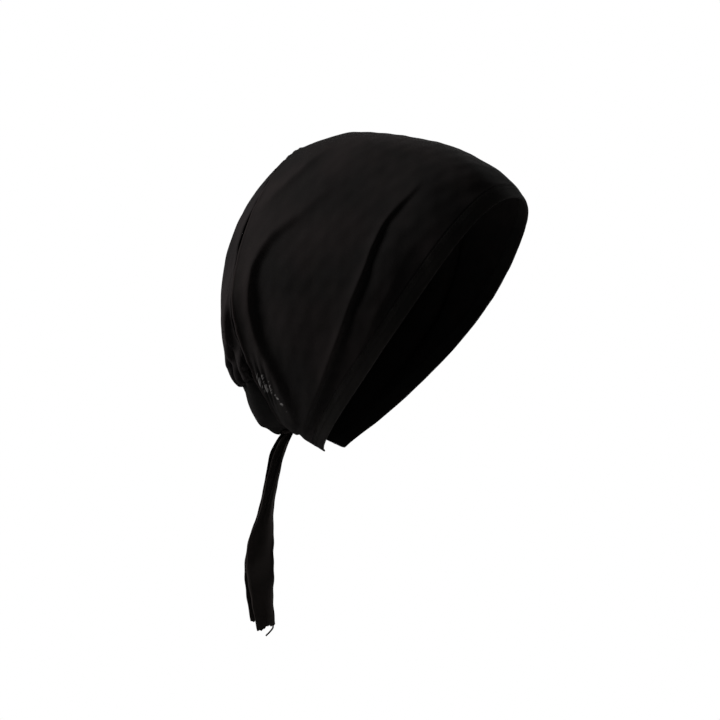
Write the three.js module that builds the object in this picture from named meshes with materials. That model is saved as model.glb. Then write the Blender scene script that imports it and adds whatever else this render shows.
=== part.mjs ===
// Tie-back underscarf cap of thin black jersey, as it sits on a head.
// Millimetres, +Z up, the face towards -Y, the wearer's left side towards +X.
// The origin is the inside of the crown's top, where the cap rests on the head.

import * as THREE from "three";

// Overall sizes of the worn cap, measured on the inside of the cloth.
const CAP_LENGTH = 218;
const CAP_HEIGHT = 223;
const CAP_HALF_WIDTH = 75;

// Cloth and clearances.
const CROWN_WALL = 1.2;
const BAG_WALL = 1.3;
const BAND_WALL = 2.2;
const NAPE_WALL = 1.8;
const TIE_WALL = 1.2;
const SEAM_GAP = 0.35;

// Hem round the face and its flared lower corners.
const BAND_WIDTH = 11;
const CORNER_FLARE = 1.4;

// Nape band: a smooth cup between the bag and the knot, with the exponents of its curve.
const NAPE_DROP = 35;
const NAPE_TUCK = 18;
const NAPE_SQUARENESS = 0.15;
const NAPE_DROP_ROUND = 0.85;
const NAPE_TUCK_ROUND = 0.75;

// Knot and the two tie tails below it.
const KNOT_WIDTH = 12;
const KNOT_DEPTH = 9.5;
const KNOT_HEIGHT = 8;
const KNOT_LOWER = 0.08;
const KNOT_FURROW = 0.14;
const FURROW_WIDTH = 0.22;
const TIE_LENGTH = 138;
const TIE_WIDTH = 20;
const TIE_GAP = 1.5;
const TIE_FACING = 27;

// Crown hoops: each row is one loop of cloth from the knot on one side, over the head, to the
// knot on the other. Backs and bows are shares of CAP_LENGTH, drops of CAP_HEIGHT, sides of
// CAP_HALF_WIDTH. widest is the share of the way down where the loop is widest, and the two
// round columns are the exponents of its arch above and below that place.
const CROWN_COLUMNS = ["place", "topBack", "topDrop", "endSide", "endBack", "endDrop",
  "halfSide", "widest", "bow", "roundTop", "roundEnd"];
const CROWN_HOOPS = [
  [0.00, -0.450, 0.197, 0.210, 0.178, 0.994, 0.893, 0.48, -0.041, 2.40, 1.50],
  [0.22, -0.359, 0.108, 0.171, 0.222, 0.982, 0.961, 0.47, -0.055, 2.30, 1.50],
  [0.50, -0.182, 0.032, 0.132, 0.275, 0.965, 1.000, 0.47, -0.055, 2.10, 1.60],
  [0.70, 0.023, 0.000, 0.120, 0.307, 0.950, 0.974, 0.48, 0.022, 2.05, 1.60],
  [0.85, 0.159, 0.005, 0.113, 0.324, 0.939, 0.900, 0.49, 0.075, 2.00, 1.55],
  [1.00, 0.300, 0.054, 0.107, 0.339, 0.930, 0.803, 0.51, 0.082, 2.00, 1.50],
];
const SEAM_PLACE = 1;
// Share of the seam hoop where the bag ends and the nape band begins.
const NAPE_START = 0.755;

// Bag hoops: as above, from one end of the nape band's upper edge to the other. halfSide is
// a share of that end's side, and the rows run from the seam to the nape band's upper edge.
const BAG_COLUMNS = ["place", "topBack", "topDrop", "halfSide", "widest", "bow", "roundEnd"];
const BAG_HOOPS = [
  [1.00, 0.300, 0.054, 1.38, 0.58, 0.045, 1.30],
  [1.15, 0.409, 0.148, 1.27, 0.60, 0.038, 1.25],
  [1.35, 0.491, 0.291, 1.16, 0.66, 0.034, 1.25],
  [1.55, 0.527, 0.465, 1.07, 0.74, 0.028, 1.30],
  [1.75, 0.536, 0.643, 1.02, 0.85, 0.020, 1.50],
  [1.90, 0.520, 0.760, 1.00, 0.95, 0.009, 1.80],
  [2.00, 0.473, 0.806, 1.00, 1.00, 0.000, 2.00],
];
const BAG_END_PLACE = 2;

// Folds: each row is a ridge with a hollow on its face side, along a path of hoop shares.
// A path point is the share of the hoop from its top to its end, then the hoop's place.
// high and wide are shares of FOLD_HEIGHT and FOLD_WIDTH. Behind the ridge and before the
// hollow the cloth runs out more softly, by the two soft factors.
const FOLD_HEIGHT = 3.0;
const FOLD_WIDTH = 4.0;
const RIDGE_SOFT = 2.6;
const HOLLOW_SOFT = 2.2;
const HOLLOW_DEPTH = 0.75;
const FOLD_FADE = 0.6;
const FOLD_COLUMNS = ["side", "high", "wide", "path"];
const FOLDS = [
  [-1, 0.90, 1.00, [[0.24, 0.41], [0.34, 0.46], [0.46, 0.45], [0.60, 0.41], [0.72, 0.38], [0.86, 0.39]]],
  [-1, 1.00, 1.35, [[0.24, 0.66], [0.34, 0.74], [0.42, 0.83], [0.52, 0.88], [0.60, 0.90], [0.67, 0.86],
    [0.72, 0.73], [0.80, 0.59]]],
  [-1, 0.30, 1.30, [[0.16, 0.78], [0.26, 0.84], [0.34, 0.92]]],
  [-1, 0.25, 1.20, [[0.34, 0.24], [0.48, 0.22], [0.62, 0.17]]],
  [1, 0.75, 1.10, [[0.20, 0.44], [0.32, 0.47], [0.47, 0.43], [0.62, 0.38], [0.78, 0.36]]],
  [1, 0.95, 1.40, [[0.27, 0.70], [0.36, 0.78], [0.46, 0.86], [0.57, 0.89], [0.66, 0.85], [0.73, 0.72],
    [0.82, 0.57]]],
  [1, 0.30, 1.40, [[0.12, 0.80], [0.22, 0.86], [0.32, 0.93]]],
  [-1, 0.70, 1.00, [[0.40, 1.45], [0.62, 1.30], [0.82, 1.20]]],
  [1, 0.60, 1.10, [[0.34, 1.50], [0.58, 1.34], [0.80, 1.22]]],
];

// Gathers of the bag: side is the signed hoop share of each pleat, high and wide as above.
const GATHER_COLUMNS = ["side", "high", "wide"];
const GATHERS = [
  [-0.80, 0.55, 0.9],
  [-0.62, 0.75, 0.9],
  [-0.44, 0.60, 0.8],
  [-0.27, 0.80, 0.9],
  [-0.09, 0.55, 0.8],
  [0.08, 0.75, 0.9],
  [0.25, 0.55, 0.8],
  [0.43, 0.80, 0.9],
  [0.61, 0.60, 0.9],
  [0.79, 0.65, 0.9],
];
const GATHER_REACH = 0.55;
const GATHER_HOLD = 0.12;
const GATHER_WIDTH = 0.055;
const GATHER_HOLLOW = 0.35;

// Tie tails: each row is one section. down is a share of TIE_LENGTH, turn is in degrees, and
// the others are shares of TIE_WIDTH: the middle's way across, the section's width, its edges'
// lift, and how much lower its back edge hangs than its front edge.
const TAIL_COLUMNS = ["down", "across", "wide", "turn", "curl", "slant"];
const RIGHT_TAIL = [
  [0.00, 0.04, 0.30, -30, 0.06, 0.0],
  [0.08, -0.24, 0.36, -12, 0.10, 0.0],
  [0.20, -0.48, 0.40, 0, 0.09, 0.0],
  [0.33, -0.66, 0.44, 4, 0.08, 0.0],
  [0.45, -0.80, 0.60, 4, 0.07, 0.0],
  [0.56, -0.95, 0.90, 2, 0.05, 0.0],
  [0.68, -1.00, 0.98, 0, 0.04, 0.0],
  [0.80, -0.97, 0.90, -2, 0.05, 0.0],
  [0.90, -0.91, 0.76, -4, 0.07, 0.1],
  [1.00, -0.85, 0.64, -6, 0.03, 0.3],
];
const LEFT_TAIL = [
  [0.00, -0.14, 0.28, 24, 0.06, 0.0],
  [0.08, -0.44, 0.30, 16, 0.09, 0.0],
  [0.20, -0.58, 0.36, 8, 0.08, 0.0],
  [0.33, -0.73, 0.42, 4, 0.07, 0.0],
  [0.45, -0.88, 0.54, 2, 0.06, 0.0],
  [0.56, -1.03, 0.82, 0, 0.05, 0.0],
  [0.68, -1.10, 0.90, 0, 0.04, 0.0],
  [0.80, -1.11, 0.86, 0, 0.04, 0.0],
  [0.90, -1.08, 0.78, 2, 0.06, 0.0],
  [0.965, -1.06, 0.76, 3, 0.03, 0.1],
];
const TAIL_LEAN = -0.035;

// Reach of the flared corners: along the hem as a hoop share, and inwards as a place.
const FLARE_ALONG = 0.05;
const FLARE_INWARD = 0.16;

// Mesh steps: the cloth is finer where the main folds run. Each spacing place is the hoop
// along which the columns lie evenly.
const CROWN_STEPS = 64;
const CROWN_SPACING = 0.25;
const CROWN_PLACES = [0.17, 0.25, 0.31, 0.355, 0.39, 0.42, 0.45, 0.48, 0.53, 0.60, 0.67, 0.72, 0.76,
  0.80, 0.84, 0.88, 0.92, 0.96];
const HEM_BLEND = 0.2;
const HEM_SPREAD = 0.6;
const BAG_STEPS = 54;
const BAG_SPACING = 1.3;
const BAG_PLACES = [1.08, 1.18, 1.28, 1.38, 1.48, 1.58, 1.68, 1.77, 1.85, 1.92];
const BAG_TIP = 0.96;
const NAPE_STEPS = 26;
const NAPE_SPACING = 0.3;
const NAPE_ROWS = 8;
const NAPE_TOP_INSET = 0.14;
const TAIL_ROWS = 24;
const TAIL_SIDES = 6;
const FOLD_SAMPLES = 28;
const SLOPE_STEP = 0.004;
const INSET_STEP = 0.05;
const BAG_END_STEP = 0.02;
const LENGTH_SAMPLES = 400;

// Records with the names of a table's columns, one for each row.
function records(columns, rows) {
  return rows.map((row) => Object.fromEntries(columns.map((name, i) => [name, row[i]])));
}

// Smooth value of one column at a place: a cubic through the rows, with averaged slopes.
function smoothColumn(table, key, name, place) {
  const last = table.length - 1;
  let i = 0;
  while (i < last - 1 && place > table[i + 1][key]) i += 1;
  const width = (k) => table[k + 1][key] - table[k][key];
  const rise = (k) => (table[k + 1][name] - table[k][name]) / width(k);
  const inner = (k) => (rise(k - 1) * width(k) + rise(k) * width(k - 1)) / (width(k - 1) + width(k));
  const slope = (k) => {
    if (k === 0) return 2 * rise(0) - inner(1);
    if (k === last) return 2 * rise(last - 1) - inner(last - 1);
    return inner(k);
  };
  const h = width(i);
  const s = (place - table[i][key]) / h;
  const s2 = s * s;
  const s3 = s2 * s;
  return (2 * s3 - 3 * s2 + 1) * table[i][name] + (s3 - 2 * s2 + s) * h * slope(i)
    + (3 * s2 - 2 * s3) * table[i + 1][name] + (s3 - s2) * h * slope(i + 1);
}

const crownTable = records(CROWN_COLUMNS, CROWN_HOOPS);
const bagTable = records(BAG_COLUMNS, BAG_HOOPS);
const crownMemory = new Map();
const bagMemory = new Map();

// Remembers what a function gives for each number.
function remembered(memory, key, make) {
  if (!memory.has(key)) memory.set(key, make());
  return memory.get(key);
}

// One crown hoop's sizes in millimetres.
function crownHoop(place) {
  return remembered(crownMemory, place, () => {
    const get = (name) => smoothColumn(crownTable, "place", name, place);
    return {
      top: new THREE.Vector2(get("topBack") * CAP_LENGTH, -get("topDrop") * CAP_HEIGHT),
      end: new THREE.Vector2(get("endBack") * CAP_LENGTH, -get("endDrop") * CAP_HEIGHT),
      endSide: get("endSide") * CAP_HALF_WIDTH,
      halfSide: get("halfSide") * CAP_HALF_WIDTH,
      widest: get("widest"),
      bow: get("bow") * CAP_LENGTH,
      roundTop: get("roundTop"),
      roundEnd: get("roundEnd"),
    };
  });
}

// Point of one hoop: side is the signed share of the way, from -1 at the wearer's right end
// through 0 at the top to 1 at the left end. Vectors of two hold back and up.
function archPoint(hoop, side) {
  const share = Math.min(Math.abs(side), 1);
  let down;
  let out;
  if (share <= hoop.widest) {
    const angle = share / hoop.widest * Math.PI / 2;
    down = hoop.widest * (1 - Math.max(Math.cos(angle), 0) ** (2 / hoop.roundTop));
    out = hoop.halfSide * Math.sin(angle) ** (2 / hoop.roundTop);
  } else {
    const angle = (share - hoop.widest) / (1 - hoop.widest) * Math.PI / 2;
    const flat = Math.max(Math.cos(angle), 0);
    down = hoop.widest + (1 - hoop.widest) * Math.sin(angle) ** (2 / hoop.roundEnd);
    out = hoop.endSide + (hoop.halfSide - hoop.endSide) * flat ** (2 / hoop.roundEnd);
  }
  const chord = hoop.end.clone().sub(hoop.top);
  const bulge = hoop.bow * Math.sin(Math.PI * down) / chord.length();
  return new THREE.Vector3(
    Math.sign(side) * out,
    hoop.top.x + chord.x * down - chord.y * bulge,
    hoop.top.y + chord.y * down + chord.x * bulge,
  );
}

function crownPoint(side, place) {
  return archPoint(crownHoop(place), side);
}

// Point of the seam between crown and bag, and the bag's two corners on it.
function seamPoint(side) {
  return crownPoint(side, SEAM_PLACE);
}

const bagCorner = seamPoint(NAPE_START);

// One bag hoop's sizes in millimetres: every one ends in the same corner.
function bagHoop(place) {
  return remembered(bagMemory, place, () => {
    const get = (name) => smoothColumn(bagTable, "place", name, place);
    return {
      top: new THREE.Vector2(get("topBack") * CAP_LENGTH, -get("topDrop") * CAP_HEIGHT),
      end: new THREE.Vector2(bagCorner.y, bagCorner.z),
      endSide: bagCorner.x,
      halfSide: get("halfSide") * bagCorner.x,
      widest: get("widest"),
      bow: get("bow") * CAP_LENGTH,
      roundTop: 2,
      roundEnd: get("roundEnd"),
    };
  });
}

// The bag's surface: its hoops, drawn onto the seam where they start.
function bagPoint(side, place) {
  const away = (BAG_END_PLACE - place) / (BAG_END_PLACE - SEAM_PLACE);
  const shift = seamPoint(side * NAPE_START).sub(archPoint(bagHoop(SEAM_PLACE), side));
  return archPoint(bagHoop(place), side).addScaledVector(shift, away * away);
}

// The nape band's surface: place runs from 0 at the bag to 1 at the knot. Its ends follow the
// seam, and its middle drops in a cup.
function napePoint(side, place) {
  const end = seamPoint(NAPE_START + (1 - NAPE_START) * place);
  const top = archPoint(bagHoop(BAG_END_PLACE), 0);
  const turn = place * Math.PI / 2;
  const middleBack = top.y - NAPE_TUCK * (1 - Math.max(Math.cos(turn), 0) ** NAPE_TUCK_ROUND);
  const middleUp = top.z - NAPE_DROP * Math.sin(turn) ** NAPE_DROP_ROUND;
  const angle = Math.abs(side) * Math.PI / 2;
  const squarer = 1 - NAPE_SQUARENESS * Math.sin(turn);
  const out = Math.sin(angle) ** squarer;
  const share = 1 - Math.max(Math.cos(angle), 0) ** (1 / squarer);
  return new THREE.Vector3(
    Math.sign(side) * end.x * out,
    middleBack + (end.y - middleBack) * share,
    middleUp + (end.z - middleUp) * share,
  );
}

// Outward normal of a surface given as a function of two shares.
function outward(surface, side, place, lowPlace) {
  const a = surface(Math.max(side - SLOPE_STEP, -1), place);
  const b = surface(Math.min(side + SLOPE_STEP, 1), place);
  const c = surface(side, Math.max(place - SLOPE_STEP, lowPlace));
  const d = surface(side, Math.min(place + SLOPE_STEP, lowPlace + 1));
  return b.sub(a).cross(d.sub(c)).normalize();
}

// Points along a fold on the cloth: a smooth curve through its few path points.
function foldPath(fold) {
  const curve = new THREE.CatmullRomCurve3(
    fold.path.map(([share, place]) => new THREE.Vector3(share, place, 0)),
  );
  return Array.from({ length: FOLD_SAMPLES + 1 }, (_, i) => {
    const at = curve.getPoint(i / FOLD_SAMPLES);
    return at.y > SEAM_PLACE ? bagPoint(fold.side * at.x, at.y) : crownPoint(fold.side * at.x, at.y);
  });
}

const folds = records(FOLD_COLUMNS, FOLDS).map((fold) => ({ ...fold, points: foldPath(fold) }));

// Height of one fold at a point: a soft-backed ridge with a hollow on its face side,
// fading out towards both ends of its path.
function foldHeight(fold, point, normal) {
  let best = Infinity;
  let signed = 0;
  let along = 0;
  for (let i = 0; i < FOLD_SAMPLES; i += 1) {
    const from = fold.points[i];
    const run = fold.points[i + 1].clone().sub(from);
    const share = THREE.MathUtils.clamp(point.clone().sub(from).dot(run) / run.lengthSq(), 0, 1);
    const away = point.clone().sub(from).addScaledVector(run, -share);
    if (away.length() < best) {
      best = away.length();
      signed = Math.sign(run.clone().cross(away).dot(normal) * -fold.side) * best;
      along = (i + share) / FOLD_SAMPLES;
    }
  }
  const wide = fold.wide * FOLD_WIDTH;
  const back = signed + wide;
  const front = signed - wide;
  const ridge = Math.exp(-((back / (back < 0 ? RIDGE_SOFT * wide : wide)) ** 2));
  const hollow = Math.exp(-((front / (front < 0 ? wide : HOLLOW_SOFT * wide)) ** 2));
  const fade = Math.max(Math.sin(Math.PI * along), 0) ** FOLD_FADE;
  return fold.high * FOLD_HEIGHT * fade * (ridge - HOLLOW_DEPTH * hollow);
}

const gathers = records(GATHER_COLUMNS, GATHERS);

// Height of the bag's gathers, which start at its lower edge and die out upwards.
function gatherHeight(side, place) {
  const rise = THREE.MathUtils.clamp((BAG_END_PLACE - place) / GATHER_REACH, 0, 1);
  const hold = THREE.MathUtils.smoothstep(BAG_END_PLACE - place, 0, GATHER_HOLD);
  const strength = (1 - rise) * hold;
  return gathers.reduce((sum, gather) => {
    const away = (side - gather.side) / (gather.wide * GATHER_WIDTH);
    return sum + gather.high * FOLD_HEIGHT * strength * (Math.exp(-away * away) - GATHER_HOLLOW);
  }, 0);
}

// Flare of the face hem's two lower corners.
function flareHeight(side, place) {
  const low = Math.exp(-(((1 - Math.abs(side)) / FLARE_ALONG) ** 2));
  return CORNER_FLARE * low * Math.exp(-((place / FLARE_INWARD) ** 2));
}

// Point of the cloth of the crown and the face hem: depth is measured outwards from the inside.
function crownCloth(side, place, depth) {
  const normal = outward(crownPoint, side, place, 0);
  return foldedCloth(crownPoint(side, place), normal, side, flareHeight(side, place) + depth);
}

function bagCloth(side, place, depth) {
  const normal = outward(bagPoint, side, place, SEAM_PLACE);
  return foldedCloth(bagPoint(side, place), normal, side, gatherHeight(side, place) + depth);
}

// Moves a point out by a height and by the folds of its side of the head.
function foldedCloth(base, normal, side, height) {
  const near = folds.filter((fold) => Math.sign(side) !== -fold.side);
  const raised = near.reduce((sum, fold) => sum + foldHeight(fold, base, normal), height);
  return base.addScaledVector(normal, raised);
}

function napeCloth(side, place, depth) {
  return napePoint(side, place).addScaledVector(outward(napePoint, side, place, 0), depth);
}

// Shares along a hoop that lie the same length of cloth apart.
function evenShares(surface, place, count, tip) {
  const shares = Array.from({ length: LENGTH_SAMPLES + 1 }, (_, i) => tip * (2 * i / LENGTH_SAMPLES - 1));
  const lengths = [0];
  for (let i = 1; i <= LENGTH_SAMPLES; i += 1) {
    lengths.push(lengths[i - 1] + surface(shares[i], place).distanceTo(surface(shares[i - 1], place)));
  }
  return Array.from({ length: count + 1 }, (_, k) => {
    const want = lengths[LENGTH_SAMPLES] * k / count;
    let i = 1;
    while (i < LENGTH_SAMPLES && lengths[i] < want) i += 1;
    const part = (want - lengths[i - 1]) / (lengths[i] - lengths[i - 1]);
    return shares[i - 1] + (shares[i] - shares[i - 1]) * part;
  });
}

// Closed wall between two grids of points with the same rows and columns.
function wallGeometry(outer, inner) {
  const rows = outer.length;
  const columns = outer[0].length;
  const positions = [];
  const indices = [];
  for (const grid of [outer, inner]) {
    for (const row of grid) {
      for (const point of row) positions.push(point.x, point.y, point.z);
    }
  }
  const at = (layer, i, j) => (layer * rows + i) * columns + j;
  const quad = (a, b, c, d) => indices.push(a, b, c, a, c, d);
  for (let i = 0; i < rows - 1; i += 1) {
    for (let j = 0; j < columns - 1; j += 1) {
      quad(at(0, i, j), at(0, i, j + 1), at(0, i + 1, j + 1), at(0, i + 1, j));
      quad(at(1, i, j), at(1, i + 1, j), at(1, i + 1, j + 1), at(1, i, j + 1));
    }
    quad(at(0, i, 0), at(0, i + 1, 0), at(1, i + 1, 0), at(1, i, 0));
    quad(at(0, i, columns - 1), at(1, i, columns - 1), at(1, i + 1, columns - 1), at(0, i + 1, columns - 1));
  }
  for (let j = 0; j < columns - 1; j += 1) {
    quad(at(0, 0, j), at(1, 0, j), at(1, 0, j + 1), at(0, 0, j + 1));
    quad(at(0, rows - 1, j), at(0, rows - 1, j + 1), at(1, rows - 1, j + 1), at(1, rows - 1, j));
  }
  const geometry = new THREE.BufferGeometry();
  geometry.setAttribute("position", new THREE.Float32BufferAttribute(positions, 3));
  geometry.setIndex(indices);
  return geometry;
}

// Part of place that a width takes at a hoop share, measured towards step.
function placeFor(surface, side, place, width, step) {
  return width * step / surface(side, place).distanceTo(surface(side, place + step));
}

// Place of the line that lies a width inside the face edge.
function bandPlace(side, width) {
  return placeFor(crownPoint, side, 0, width, INSET_STEP);
}

function makeFaceBand() {
  const shares = evenShares(crownPoint, CROWN_SPACING, CROWN_STEPS, 1);
  const grid = (depth) => [0, 0.5, 1].map((part) => shares.map(
    (side) => crownCloth(side, part * bandPlace(side, BAND_WIDTH), depth),
  ));
  return wallGeometry(grid(BAND_WALL), grid(0));
}

// Places of the crown's mesh rows at one hoop share, from the hem to the bag's seam.
function crownPlaces(side) {
  const first = CROWN_PLACES[0];
  const hem = bandPlace(side, BAND_WIDTH + SEAM_GAP);
  const last = SEAM_PLACE + placeFor(crownPoint, side, SEAM_PLACE, SEAM_GAP / 2, -INSET_STEP);
  const inner = CROWN_PLACES.map((place) => {
    const spread = THREE.MathUtils.smoothstep(place, first, first + HEM_BLEND);
    return THREE.MathUtils.lerp(hem + (place - first) * HEM_SPREAD, place, spread);
  });
  return [...inner, last];
}

function makeCrownPanel() {
  const shares = evenShares(crownPoint, CROWN_SPACING, CROWN_STEPS, 1);
  const places = shares.map(crownPlaces);
  const grid = (depth) => places[0].map((_, row) => shares.map(
    (side, column) => crownCloth(side, places[column][row], depth),
  ));
  return wallGeometry(grid(CROWN_WALL), grid(0));
}

function makeBackBag() {
  const shares = evenShares(bagPoint, BAG_SPACING, BAG_STEPS, BAG_TIP);
  const inset = (side, place, step) => placeFor(bagPoint, side, place, SEAM_GAP / 2, step);
  const first = (side) => SEAM_PLACE + Math.min(inset(side, SEAM_PLACE, INSET_STEP), INSET_STEP);
  const last = (side) => BAG_END_PLACE + Math.max(inset(side, BAG_END_PLACE, -BAG_END_STEP), -BAG_END_STEP);
  const grid = (depth) => [
    shares.map((side) => bagCloth(side, first(side), depth)),
    ...BAG_PLACES.map((place) => shares.map((side) => bagCloth(side, place, depth))),
    shares.map((side) => bagCloth(side, last(side), depth)),
  ];
  return wallGeometry(grid(BAG_WALL), grid(0));
}

function makeNapeBand() {
  const shares = evenShares(napePoint, NAPE_SPACING, NAPE_STEPS, 1);
  const places = Array.from(
    { length: NAPE_ROWS + 1 },
    (_, i) => (i + NAPE_TOP_INSET) / (NAPE_ROWS + NAPE_TOP_INSET),
  );
  const inset = CROWN_WALL + SEAM_GAP / 2;
  const grid = (depth) => places.map((place) => {
    const reach = 1 - inset / napePoint(0, place).distanceTo(napePoint(1, place));
    return shares.map((side) => napeCloth(side * reach, place, depth));
  });
  return wallGeometry(grid(NAPE_WALL), grid(0));
}

// Centre of the knot, below the middle of the nape band's lower edge.
function knotCentre() {
  const end = napePoint(1, 1);
  const back = napePoint(0, 1);
  const level = (end.z + back.z) / 2 - KNOT_HEIGHT * KNOT_LOWER;
  return new THREE.Vector3(0, (end.y + back.y) / 2 - NAPE_WALL / 2, level);
}

// Knot: a small pillow with one slanting furrow where the two ties cross.
function makeKnot() {
  const geometry = new THREE.SphereGeometry(1, 20, 12);
  const position = geometry.attributes.position;
  const centre = knotCentre();
  for (let i = 0; i < position.count; i += 1) {
    const unit = new THREE.Vector3().fromBufferAttribute(position, i);
    const across = unit.x * 0.8 + unit.y * 0.5;
    const furrow = 1 - KNOT_FURROW * Math.exp(-((across / FURROW_WIDTH) ** 2));
    position.setXYZ(
      i,
      centre.x + unit.x * furrow * KNOT_WIDTH / 2,
      centre.y + unit.z * furrow * KNOT_DEPTH / 2,
      centre.z - unit.y * furrow * KNOT_HEIGHT / 2,
    );
  }
  return geometry;
}

// One tie tail: a flat strip that hangs from the knot, narrow and rolled at the top.
// away is the strip's distance from the middle of the pair, along the view across them.
function makeTail(rows, away) {
  const table = records(TAIL_COLUMNS, rows);
  const start = knotCentre();
  start.z -= KNOT_HEIGHT / 2 + SEAM_GAP;
  const last = table[table.length - 1].down;
  const facing = THREE.MathUtils.degToRad(TIE_FACING);
  const across = new THREE.Vector3(Math.sin(facing), -Math.cos(facing), 0);
  const through = new THREE.Vector3(Math.cos(facing), Math.sin(facing), 0);
  const grid = (depth) => Array.from({ length: TAIL_ROWS + 1 }, (_, i) => {
    const down = last * i / TAIL_ROWS;
    const get = (name) => smoothColumn(table, "down", name, down);
    const middle = start.clone().addScaledVector(across, get("across") * TIE_WIDTH)
      .addScaledVector(through, away + TAIL_LEAN * down * TIE_LENGTH);
    middle.z -= down * TIE_LENGTH;
    const turn = THREE.MathUtils.degToRad(get("turn"));
    const widthWay = across.clone().multiplyScalar(Math.cos(turn)).addScaledVector(through, Math.sin(turn));
    const outWay = through.clone().multiplyScalar(-Math.cos(turn)).addScaledVector(across, Math.sin(turn));
    return Array.from({ length: TAIL_SIDES + 1 }, (_, j) => {
      const part = 2 * j / TAIL_SIDES - 1;
      const point = middle.clone().addScaledVector(widthWay, part * get("wide") * TIE_WIDTH / 2)
        .addScaledVector(outWay, depth + (part * part - 1 / 3) * get("curl") * TIE_WIDTH);
      point.z += part * get("slant") * TIE_WIDTH / 2;
      return point;
    });
  });
  return wallGeometry(grid(-TIE_WALL / 2), grid(TIE_WALL / 2));
}

// Dull black jersey, a little warmer and lighter where it is drawn thin.
function jersey(colour, roughness) {
  return new THREE.MeshStandardMaterial({ color: colour, roughness, metalness: 0 });
}

function named(name, geometry, material) {
  const mesh = new THREE.Mesh(geometry, material);
  mesh.name = name;
  return mesh;
}

const cap = new THREE.Group();
cap.add(named("crown_panel", makeCrownPanel(), jersey(0x151311, 0.9)));
cap.add(named("face_band", makeFaceBand(), jersey(0x121110, 0.88)));
cap.add(named("back_bag", makeBackBag(), jersey(0x1b1817, 0.92)));
cap.add(named("nape_band", makeNapeBand(), jersey(0x141211, 0.9)));
cap.add(named("tie_knot", makeKnot(), jersey(0x131110, 0.9)));
cap.add(named("tie_tail_right", makeTail(RIGHT_TAIL, -(TIE_WALL + TIE_GAP) / 2), jersey(0x171513, 0.9)));
cap.add(named("tie_tail_left", makeTail(LEFT_TAIL, (TIE_WALL + TIE_GAP) / 2), jersey(0x161412, 0.9)));

export default cap;
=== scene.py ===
# %% [markdown]
# # A tie-back underscarf cap of thin black jersey
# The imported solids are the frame: they say where each piece of the cap is. This lesson dresses them as sewn
# knitted cloth. It works in millimetres, as a pattern maker does, and turns them into metres when a mesh is made.

# %% The frame and its box
import math

import bpy
import numpy as np
from mathutils import Matrix, Vector


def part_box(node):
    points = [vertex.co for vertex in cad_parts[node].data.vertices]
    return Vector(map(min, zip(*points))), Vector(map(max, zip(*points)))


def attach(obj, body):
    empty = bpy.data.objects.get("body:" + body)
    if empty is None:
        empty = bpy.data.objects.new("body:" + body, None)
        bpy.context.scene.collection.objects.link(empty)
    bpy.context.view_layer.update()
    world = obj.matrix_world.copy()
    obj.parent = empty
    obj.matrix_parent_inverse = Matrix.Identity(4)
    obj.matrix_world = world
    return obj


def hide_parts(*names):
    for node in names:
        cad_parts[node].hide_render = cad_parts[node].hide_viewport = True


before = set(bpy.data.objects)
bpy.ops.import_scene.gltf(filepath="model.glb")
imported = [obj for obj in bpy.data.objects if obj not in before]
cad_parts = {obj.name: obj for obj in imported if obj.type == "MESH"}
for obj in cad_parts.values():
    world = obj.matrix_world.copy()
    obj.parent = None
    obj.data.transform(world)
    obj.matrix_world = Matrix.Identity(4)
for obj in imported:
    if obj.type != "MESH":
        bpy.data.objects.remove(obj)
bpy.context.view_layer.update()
MM = 0.001
print("solids:", sorted(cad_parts))

# %% [markdown]
# ## Camera
# The cap is seen from the wearer's right, a little above level. The picture's scale at the cap is 0.70 mm for
# each pixel, and the top of the crown, which is the origin, lies at pixel (385, 134.5) of 720.

# %% Camera
VIEW_TURN = 27.0
VIEW_DOWN = 5.0
VIEW_AWAY = 1500.0
PIXEL = 0.70
FRAME_PIXELS = 720
CROWN_PIXEL = (385, 134.5)
SENSOR = 36.0

# The camera looks along +X, turned towards +Y and then tipped down.
a, e = math.radians(VIEW_TURN), math.radians(VIEW_DOWN)
view_forward = np.array([math.cos(a) * math.cos(e), math.sin(a) * math.cos(e), -math.sin(e)])
view_right = np.array([math.sin(a), -math.cos(a), 0.0])
view_up = np.cross(view_right, view_forward)
half_frame = FRAME_PIXELS / 2
aim = PIXEL * ((half_frame - CROWN_PIXEL[0]) * view_right - (half_frame - CROWN_PIXEL[1]) * view_up)
camera_data = bpy.data.cameras.new("camera")
camera_data.sensor_width = SENSOR
camera_data.lens = SENSOR * VIEW_AWAY / (FRAME_PIXELS * PIXEL)
camera_data.clip_start = 0.05
camera_data.clip_end = 40
camera = bpy.data.objects.new("camera", camera_data)
turned = Matrix(np.column_stack([view_right, view_up, -view_forward]).tolist()).to_4x4()
camera.matrix_world = Matrix.Translation((aim - VIEW_AWAY * view_forward) * MM) @ turned
bpy.context.scene.collection.objects.link(camera)
bpy.context.scene.camera = camera
print("lens", round(camera_data.lens, 2), "mm")

# %% [markdown]
# ## Hoops
# The cap is measured as a row of hoops. Each one is a loop of cloth from the knot on one side, over the head, to
# the knot on the other, and a table says where its top and its end lie and how wide and how round it is. A
# smooth curve through the rows gives a hoop at any place between them, so the cloth is one function of two
# numbers: the share of the way along the hoop, and the hoop's place from the face edge to the back.

# %% Sizes and tables of the hoops
CAP_LENGTH = 218.0
CAP_HEIGHT = 223.0
CAP_HALF_WIDTH = 75.0
CROWN_WALL = 1.2
BAG_WALL = 1.3
NAPE_WALL = 1.8
BAND_WIDTH = 11.0
NAPE_DROP = 35.0
NAPE_TUCK = 18.0
NAPE_SQUARENESS = 0.15
NAPE_DROP_ROUND = 0.85
NAPE_TUCK_ROUND = 0.75
SEAM_PLACE = 1.0
BAG_END_PLACE = 2.0
NAPE_START = 0.755


def as_columns(names, rows):
    """A table's columns by name, each an array with one value for each row."""
    return dict(zip(names.split(), np.array(rows, float).T))


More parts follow.
